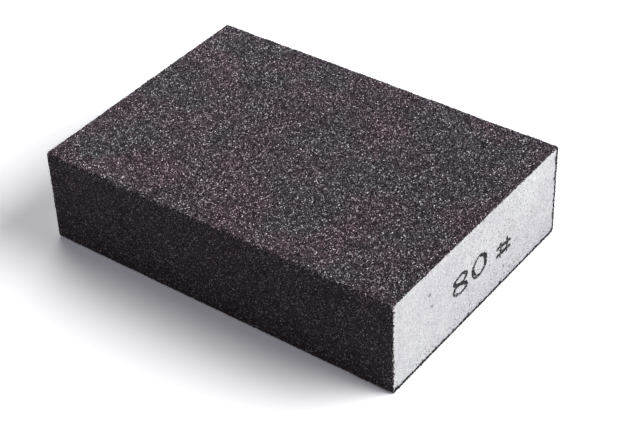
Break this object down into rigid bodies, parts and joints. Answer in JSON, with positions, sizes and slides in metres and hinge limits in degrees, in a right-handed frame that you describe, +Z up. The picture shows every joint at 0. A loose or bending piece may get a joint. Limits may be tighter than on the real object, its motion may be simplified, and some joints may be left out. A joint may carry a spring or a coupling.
{
  "type": "sanding sponge",
  "caption": "Rectangular foam sanding block with abrasive grit bonded round its long faces and bare foam ends, one of them printed with a plain grit number.",
  "frame": {"origin": "middle of the underside, on the surface that the block rests on", "axes": "+X along the block's length, towards the end printed with the grit number; +Y across its width; +Z up through its thickness"},
  "size_m": [0.1, 0.0702, 0.0258],
  "materials": {
    "foam": "matte",
    "abrasive_grit": "matte"
  },
  "bodies": {
    "root": {"foam_block": "foam", "abrasive_coat": "abrasive_grit"}
  },
  "joints": []
}
